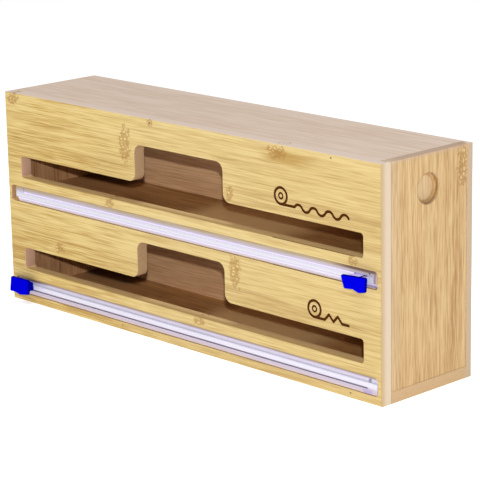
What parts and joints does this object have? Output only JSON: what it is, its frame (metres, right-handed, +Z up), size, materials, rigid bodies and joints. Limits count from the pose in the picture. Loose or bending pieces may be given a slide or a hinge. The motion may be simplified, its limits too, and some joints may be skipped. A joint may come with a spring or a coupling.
{
  "type": "cling film dispenser",
  "caption": "Bamboo box with stacked bays for kitchen film and foil rolls, finger windows, slide cutters on rails and a lift-up side door.",
  "frame": {"origin": "centre of the box's underside", "axes": "+X along the box towards the door end, +Y from the window side to the back, +Z up"},
  "size_m": [0.33, 0.084, 0.139],
  "materials": {
    "bamboo_flat": "satin lacquer over flat-pressed bamboo, grain along the box",
    "bamboo_strip": "satin lacquer over narrow upright bamboo strips",
    "clear_plastic": "translucent, lightly frosted, glossy",
    "blue_plastic": "glossy moulded royal blue",
    "blade_steel": "ground steel",
    "brad_steel": "dull, darkened",
    "pin_steel": "plated",
    "tape": "white foam tape"
  },
  "bodies": {
    "box": {"front_panel": "bamboo_flat", "back_panel": "bamboo_flat", "base_board": "bamboo_flat", "top_board": "bamboo_flat", "left_side_panel": "bamboo_strip", "middle_shelf": "bamboo_flat", "upper_cutter_rail": "clear_plastic", "upper_rail_left_plug": "clear_plastic", "upper_rail_right_plug": "clear_plastic", "upper_rail_tape": "tape", "lower_cutter_rail": "clear_plastic", "lower_rail_left_plug": "clear_plastic", "lower_rail_right_plug": "clear_plastic", "lower_rail_tape": "tape", "front_brads": "brad_steel", "back_brads": "brad_steel", "rail_pins": "pin_steel"},
    "door": {"side_door": "bamboo_strip"},
    "upper_slider": {"upper_slider_grip": "blue_plastic", "upper_slider_shoe": "blue_plastic", "upper_slider_blade": "blade_steel"},
    "lower_slider": {"lower_slider_grip": "blue_plastic", "lower_slider_shoe": "blue_plastic", "lower_slider_blade": "blade_steel"}
  },
  "joints": [
    {"name": "door_lift", "type": "slide", "parent": "box", "child": "door", "axis": [0, 0, 1], "range_m": [0, 0.125]},
    {"name": "upper_cut", "type": "slide", "parent": "box", "child": "upper_slider", "axis": [1, 0, 0], "range_m": [-0.2926, 0]},
    {"name": "lower_cut", "type": "slide", "parent": "box", "child": "lower_slider", "axis": [1, 0, 0], "range_m": [0, 0.2972]}
  ]
}
